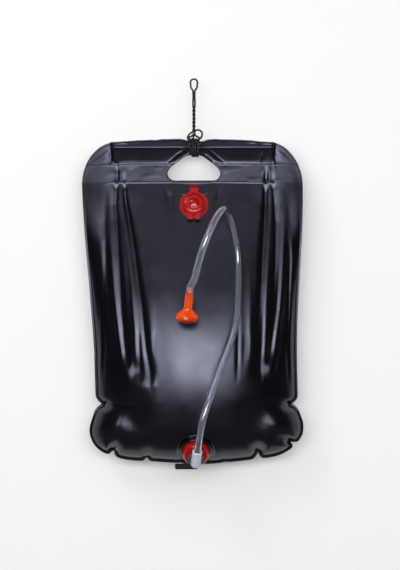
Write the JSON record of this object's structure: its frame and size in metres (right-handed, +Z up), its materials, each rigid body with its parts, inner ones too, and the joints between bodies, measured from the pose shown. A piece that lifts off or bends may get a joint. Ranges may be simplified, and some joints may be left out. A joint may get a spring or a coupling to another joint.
{
  "type": "camp shower bag",
  "caption": "Black film water bag that hangs full from a knotted cord, with a red flip-cap filler, a bottom outlet with a turning valve, and a clear hose with a push-pull spray nozzle.",
  "frame": {"origin": "where a hook bears inside the top of the hang cord's loop", "axes": "+Z up, the bag's front towards -Y, +X to the right as seen from the front"},
  "size_m": [0.3996, 0.209, 0.7031],
  "materials": {
    "film": "satin",
    "rod": "matte",
    "cord": "braided",
    "red_plastic": "gloss",
    "seal": "matte",
    "natural_plastic": "translucent",
    "black_plastic": "satin",
    "clear_hose": "clear",
    "orange_plastic": "gloss",
    "dark_red_plastic": "gloss"
  },
  "bodies": {
    "bag": {"front_panel": "film", "back_panel": "film", "header_rod": "rod", "hang_cord": "cord", "hem_hitch": "cord", "hang_knot": "cord", "filler_collar": "red_plastic", "filler_seal": "seal", "outlet_collar": "red_plastic", "outlet_gasket": "seal", "outlet_tee": "natural_plastic", "outlet_backnut": "black_plastic", "hose_barb": "black_plastic", "shower_hose": "clear_hose", "nozzle_stem": "orange_plastic", "nozzle_seal": "seal"},
    "cap": {"filler_cap": "red_plastic"},
    "valve": {"valve_core": "black_plastic", "valve_oring": "seal", "valve_lever": "black_plastic"},
    "rose": {"nozzle_head": "orange_plastic", "spray_plate": "dark_red_plastic"}
  },
  "joints": [
    {"name": "cap_flip", "type": "hinge", "parent": "bag", "child": "cap", "pos_m": [0, -0.01458, -0.1949], "axis": [-1, 0, 0], "range_deg": [0, 150]},
    {"name": "valve_turn", "type": "hinge", "parent": "bag", "child": "valve", "pos_m": [0.0037, -0.07898, -0.68705], "axis": [0.1097, -0.5701, 0.8142], "range_deg": [0, 90]},
    {"name": "rose_slide", "type": "slide", "parent": "bag", "child": "rose", "axis": [-0.1022, 0.2079, -0.9728], "range_m": [0, 0.005]}
  ]
}
